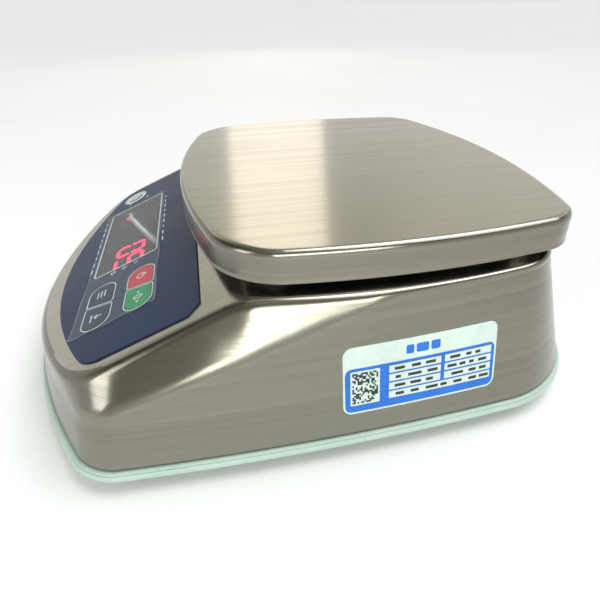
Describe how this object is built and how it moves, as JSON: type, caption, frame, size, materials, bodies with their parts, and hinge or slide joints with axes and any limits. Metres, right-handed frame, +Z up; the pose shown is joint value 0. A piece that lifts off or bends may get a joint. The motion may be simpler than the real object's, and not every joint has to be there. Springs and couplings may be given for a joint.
{
  "type": "bench scale",
  "caption": "Compact stainless bench scale: low wedge housing with a sloped display panel, a rounded platter over it, a silicone base gasket and levelling feet.",
  "frame": {"origin": "middle of the bounding box at the underside of the feet", "axes": "+X to the operator's right, -Y towards the operator, +Z up"},
  "size_m": [0.269, 0.2954, 0.0946],
  "materials": {
    "steel": "brushed stainless sheet",
    "fastener": "zinc-plated and stainless fasteners",
    "cast_aluminium": "as cast and machined",
    "gasket": "pale mint silicone",
    "black_rubber": "matt black rubber",
    "overlay_film": "printed polyester film, navy",
    "red_key": "printed polyester film, red",
    "green_key": "printed polyester film, green",
    "navy_key": "printed polyester film, dark navy",
    "window": "smoked clear film",
    "clear_film": "thin polyethylene film, slightly creased",
    "digits": "dark display block with red segments",
    "level_glass": "clear acrylic vial, pale liquid",
    "circuit_board": "green solder mask",
    "black_plastic": "moulded plastic, fine grain",
    "label_film": "printed polyester label under clear film"
  },
  "bodies": {
    "housing": {"housing_shell": "steel", "base_plate": "steel", "battery_strap": "steel", "base_screw_front_left": "fastener", "base_screw_front_right": "fastener", "base_screw_rear_left": "fastener", "base_screw_rear_right": "fastener", "weld_nut_front_left": "fastener", "weld_nut_front_right": "fastener", "weld_nut_rear_left": "fastener", "weld_nut_rear_right": "fastener", "foot_lock_nut_front_left": "fastener", "foot_lock_nut_front_right": "fastener", "foot_lock_nut_rear_left": "fastener", "foot_lock_nut_rear_right": "fastener", "cell_bolt_1": "fastener", "cell_bolt_2": "fastener", "overload_stop": "fastener", "socket_nut": "fastener", "load_cell_mount": "cast_aluminium", "load_cell": "cast_aluminium", "base_gasket": "gasket", "deck_boot": "black_rubber", "panel_overlay": "overlay_film", "display_window": "window", "protective_film": "clear_film", "display_digits": "digits", "level_vial": "level_glass", "display_board": "circuit_board", "main_board": "circuit_board", "key_switch_plate": "black_plastic", "battery": "black_plastic", "power_socket": "black_plastic", "rating_label": "label_film"},
    "carrier": {"carrier_bracket": "cast_aluminium", "carrier_bolt_1": "fastener", "carrier_bolt_2": "fastener", "platter_carrier": "cast_aluminium", "carrier_screw_1": "fastener", "carrier_screw_2": "fastener", "platter_pad_front_left": "black_rubber", "platter_pad_front_right": "black_rubber", "platter_pad_rear_left": "black_rubber", "platter_pad_rear_right": "black_rubber"},
    "platter": {"platter": "steel"},
    "key_off": {"key_off": "red_key"},
    "key_zero": {"key_zero": "green_key"},
    "key_set": {"key_set": "navy_key"},
    "key_tare": {"key_tare": "navy_key"},
    "socket_cap": {"socket_cap": "black_rubber"},
    "stud_front_left": {"foot_stud_front_left": "fastener"},
    "pad_front_left": {"foot_pad_front_left": "black_rubber"},
    "stud_front_right": {"foot_stud_front_right": "fastener"},
    "pad_front_right": {"foot_pad_front_right": "black_rubber"},
    "stud_rear_left": {"foot_stud_rear_left": "fastener"},
    "pad_rear_left": {"foot_pad_rear_left": "black_rubber"},
    "stud_rear_right": {"foot_stud_rear_right": "fastener"},
    "pad_rear_right": {"foot_pad_rear_right": "black_rubber"}
  },
  "joints": [
    {"name": "platter_sink", "type": "slide", "parent": "housing", "child": "carrier", "axis": [0, 0, -1], "range_m": [0, 0.00025], "stiffness_N_per_m": 120000, "springref_m": -0.00006},
    {"name": "platter_lift", "type": "slide", "parent": "carrier", "child": "platter", "axis": [0, 0, 1], "range_m": [0, 0.05]},
    {"name": "key_off_press", "type": "slide", "parent": "housing", "child": "key_off", "axis": [0, 0.3762, -0.9265], "range_m": [0, 0.0004], "stiffness_N_per_m": 500},
    {"name": "key_zero_press", "type": "slide", "parent": "housing", "child": "key_zero", "axis": [0, 0.3762, -0.9265], "range_m": [0, 0.0004], "stiffness_N_per_m": 500},
    {"name": "key_set_press", "type": "slide", "parent": "housing", "child": "key_set", "axis": [0, 0.3762, -0.9265], "range_m": [0, 0.0004], "stiffness_N_per_m": 500},
    {"name": "key_tare_press", "type": "slide", "parent": "housing", "child": "key_tare", "axis": [0, 0.3762, -0.9265], "range_m": [0, 0.0004], "stiffness_N_per_m": 500},
    {"name": "foot_front_left_extend", "type": "slide", "parent": "housing", "child": "stud_front_left", "axis": [0, 0, -1], "range_m": [0, 0.005]},
    {"name": "foot_front_left_turn", "type": "hinge", "parent": "stud_front_left", "child": "pad_front_left", "pos_m": [-0.0967, -0.0839, 0.003], "axis": [0, 0, -1], "range_deg": [0, 1439]},
    {"name": "foot_front_right_extend", "type": "slide", "parent": "housing", "child": "stud_front_right", "axis": [0, 0, -1], "range_m": [0, 0.005]},
    {"name": "foot_front_right_turn", "type": "hinge", "parent": "stud_front_right", "child": "pad_front_right", "pos_m": [0.0967, -0.0839, 0.003], "axis": [0, 0, -1], "range_deg": [0, 1439]},
    {"name": "foot_rear_left_extend", "type": "slide", "parent": "housing", "child": "stud_rear_left", "axis": [0, 0, -1], "range_m": [0, 0.005]},
    {"name": "foot_rear_left_turn", "type": "hinge", "parent": "stud_rear_left", "child": "pad_rear_left", "pos_m": [-0.0967, 0.0879, 0.003], "axis": [0, 0, -1], "range_deg": [0, 1439]},
    {"name": "foot_rear_right_extend", "type": "slide", "parent": "housing", "child": "stud_rear_right", "axis": [0, 0, -1], "range_m": [0, 0.005]},
    {"name": "foot_rear_right_turn", "type": "hinge", "parent": "stud_rear_right", "child": "pad_rear_right", "pos_m": [0.0967, 0.0879, 0.003], "axis": [0, 0, -1], "range_deg": [0, 1439]},
    {"name": "socket_cap_swing", "type": "hinge", "parent": "housing", "child": "socket_cap", "pos_m": [-0.06191, 0.13375, 0.04804], "axis": [0.9907, 0.1364, 0], "range_deg": [0, 110]}
  ],
  "couplings": [
    {"joint": "foot_front_left_extend", "follows": "foot_front_left_turn", "m_per_rad": 0.00019894},
    {"joint": "foot_front_right_extend", "follows": "foot_front_right_turn", "m_per_rad": 0.00019894},
    {"joint": "foot_rear_left_extend", "follows": "foot_rear_left_turn", "m_per_rad": 0.00019894},
    {"joint": "foot_rear_right_extend", "follows": "foot_rear_right_turn", "m_per_rad": 0.00019894}
  ]
}
